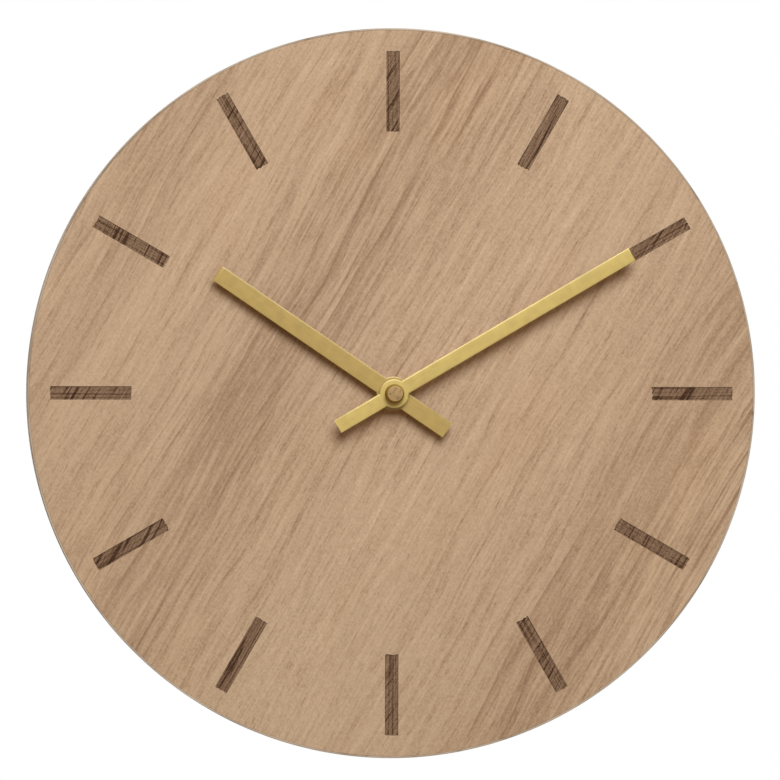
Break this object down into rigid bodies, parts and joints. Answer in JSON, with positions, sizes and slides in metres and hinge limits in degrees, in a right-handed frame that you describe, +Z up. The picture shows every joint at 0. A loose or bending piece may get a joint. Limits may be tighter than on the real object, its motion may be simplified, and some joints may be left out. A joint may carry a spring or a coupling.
{
  "type": "wall clock",
  "caption": "Round wooden wall clock: oak-veneered disc with burned bar markers, square-ended gold hands and a battery quartz movement hung on a steel bracket.",
  "frame": {"origin": "on the hand shaft's axis, at the plane of the wall, which the movement's rear cover rests on", "axes": "+Z up, the dial faces -Y, +Y points into the wall along the hand shaft"},
  "size_m": [0.3, 0.0458, 0.3],
  "materials": {
    "oak_veneer": "matt oiled light oak veneer with burned bar markers on the face",
    "oak_edge": "matt oak edge band",
    "core_board": "raw fibreboard",
    "minute_gold": "satin gold-anodised aluminium",
    "hour_gold": "satin gold-anodised aluminium",
    "brass": "turned brass, lightly brushed",
    "steel": "zinc-plated sheet steel",
    "rubber": "black moulded rubber",
    "case_plastic": "black moulded plastic, fine texture",
    "wheel_plastic": "natural white moulded plastic",
    "copper_wire": "enamelled copper wire",
    "magnet": "sintered magnet",
    "board_laminate": "green glass-fibre laminate",
    "chip_resin": "black potting resin",
    "cell_sleeve": "plain dry-cell sleeve with bare steel ends"
  },
  "bodies": {
    "clock_body": {"disc_core": "core_board", "front_veneer": "oak_veneer", "back_veneer": "oak_veneer", "edge_band": "oak_edge", "centre_nut": "brass", "centre_washer": "brass", "rubber_washer": "rubber", "threaded_bush": "brass", "hanger_bracket": "steel", "front_case": "case_plastic", "rear_cover": "case_plastic", "train_plate": "wheel_plastic", "stator": "steel", "coil_core": "steel", "coil_bobbin": "wheel_plastic", "coil_winding": "copper_wire", "circuit_board": "board_laminate", "clock_chip": "chip_resin", "quartz_crystal": "steel", "positive_contact": "steel", "negative_contact": "steel"},
    "minute_shaft": {"minute_arbor": "brass", "centre_wheel": "brass", "minute_hand": "minute_gold", "cap_pin": "brass"},
    "hour_shaft": {"hour_wheel": "brass", "hour_hand": "hour_gold"},
    "minute_wheel": {"minute_wheel": "wheel_plastic"},
    "set_shaft": {"set_arbor": "wheel_plastic", "set_knob": "wheel_plastic"},
    "third_wheel": {"third_wheel": "wheel_plastic"},
    "second_wheel": {"second_wheel": "wheel_plastic"},
    "intermediate_wheel": {"intermediate_wheel": "wheel_plastic"},
    "rotor": {"rotor_pinion": "wheel_plastic", "rotor_magnet": "magnet"},
    "battery": {"battery_cell": "cell_sleeve"}
  },
  "joints": [
    {"name": "minute_turn", "type": "hinge", "parent": "clock_body", "child": "minute_shaft", "pos_m": [0, 0, 0], "axis": [0, 1, 0], "continuous": true},
    {"name": "hour_turn", "type": "hinge", "parent": "clock_body", "child": "hour_shaft", "pos_m": [0, 0, 0], "axis": [0, 1, 0], "continuous": true},
    {"name": "minute_wheel_turn", "type": "hinge", "parent": "clock_body", "child": "minute_wheel", "pos_m": [0.0052, 0, -0.003], "axis": [0, 1, 0], "continuous": true},
    {"name": "set_knob_turn", "type": "hinge", "parent": "clock_body", "child": "set_shaft", "pos_m": [0.01112, 0, -0.00515], "axis": [0, 1, 0], "continuous": true},
    {"name": "third_wheel_turn", "type": "hinge", "parent": "clock_body", "child": "third_wheel", "pos_m": [0.00601, 0, 0.00601], "axis": [0, 1, 0], "continuous": true},
    {"name": "second_wheel_turn", "type": "hinge", "parent": "clock_body", "child": "second_wheel", "pos_m": [0, 0, 0], "axis": [0, 1, 0], "continuous": true},
    {"name": "intermediate_wheel_turn", "type": "hinge", "parent": "clock_body", "child": "intermediate_wheel", "pos_m": [-0.00748, 0, 0.00432], "axis": [0, 1, 0], "continuous": true},
    {"name": "rotor_turn", "type": "hinge", "parent": "clock_body", "child": "rotor", "pos_m": [-0.01424, 0, 0.00613], "axis": [0, 1, 0], "continuous": true},
    {"name": "battery_slide", "type": "slide", "parent": "clock_body", "child": "battery", "axis": [0, 1, 0], "range_m": [0, 0.022]}
  ],
  "couplings": [
    {"joint": "hour_turn", "follows": "minute_turn", "ratio": 0.083333},
    {"joint": "minute_wheel_turn", "follows": "minute_turn", "ratio": -0.33333},
    {"joint": "set_knob_turn", "follows": "minute_turn", "ratio": 0.83333},
    {"joint": "third_wheel_turn", "follows": "minute_turn", "ratio": -8},
    {"joint": "second_wheel_turn", "follows": "minute_turn", "ratio": 60},
    {"joint": "intermediate_wheel_turn", "follows": "minute_turn", "ratio": -300},
    {"joint": "rotor_turn", "follows": "minute_turn", "ratio": 1800}
  ]
}
